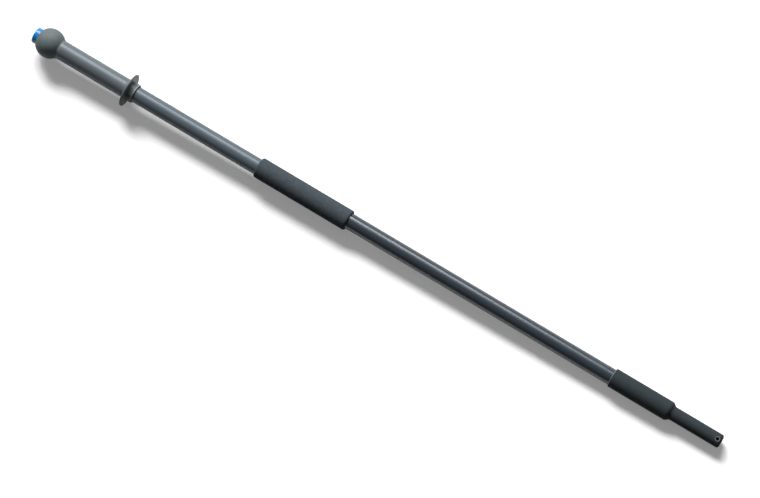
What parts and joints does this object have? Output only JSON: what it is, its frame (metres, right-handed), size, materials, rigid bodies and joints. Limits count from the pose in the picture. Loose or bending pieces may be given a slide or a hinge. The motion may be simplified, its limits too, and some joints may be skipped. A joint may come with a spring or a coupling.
{
  "type": "window cleaning pole",
  "caption": "Two-tube aluminium hand pole with a tapered tool spigot, a foam grip, and a swivelling handle with a guard disc, a ball end and a push button.",
  "frame": {"origin": "on the pole's axis at the root of the tool spigot, where a tool's socket stops", "axes": "+X runs along the pole out of the spigot's tip, with the handle on the -X side; +Z points out of the lock hole near the tip; +Y completes the frame. The pole is stored lying along X"},
  "size_m": [1.3274, 0.059, 0.059],
  "materials": {
    "connector_plastic": "near-black moulded plastic, fine satin",
    "tube_aluminium": "blue-grey anodised, satin",
    "sleeve_aluminium": "lighter blue-grey anodised, fine matt",
    "bare_aluminium": "bare, as drawn",
    "grip_foam": "dark grey closed-cell foam, matt",
    "guard_plastic": "dark grey moulded plastic, satin",
    "ball_rubber": "mid-grey soft-touch rubber, matt",
    "button_plastic": "bright blue, smooth",
    "inner_plastic": "black acetal, plain",
    "inner_rubber": "black rubber, plain",
    "spring_steel": "stainless, turned or drawn"
  },
  "bodies": {
    "pole": {"tool_connector": "connector_plastic", "tube_plug": "inner_rubber", "lower_tube": "tube_aluminium", "tube_coupler": "bare_aluminium", "foam_grip": "grip_foam", "upper_tube": "tube_aluminium", "swivel_plug": "inner_plastic", "stem_seal": "inner_rubber"},
    "handle": {"hand_guard": "guard_plastic", "lower_bush": "inner_plastic", "handle_sleeve": "sleeve_aluminium", "upper_bush": "inner_plastic", "thrust_washer": "inner_plastic", "ball_core": "inner_plastic", "ball_skin": "ball_rubber", "return_spring": "spring_steel"},
    "button": {"end_button": "button_plastic", "button_stem": "spring_steel", "stem_clip": "spring_steel", "brake_cone": "inner_plastic", "cone_screw": "spring_steel"}
  },
  "joints": [
    {"name": "handle_swivel", "type": "hinge", "parent": "pole", "child": "handle", "pos_m": [-1.1, 0, 0], "axis": [1, 0, 0], "continuous": true},
    {"name": "button_press", "type": "slide", "parent": "handle", "child": "button", "axis": [1, 0, 0], "range_m": [0, 0.004], "stiffness_N_per_m": 500, "springref_m": -0.006, "deforming": ["return_spring"]}
  ]
}
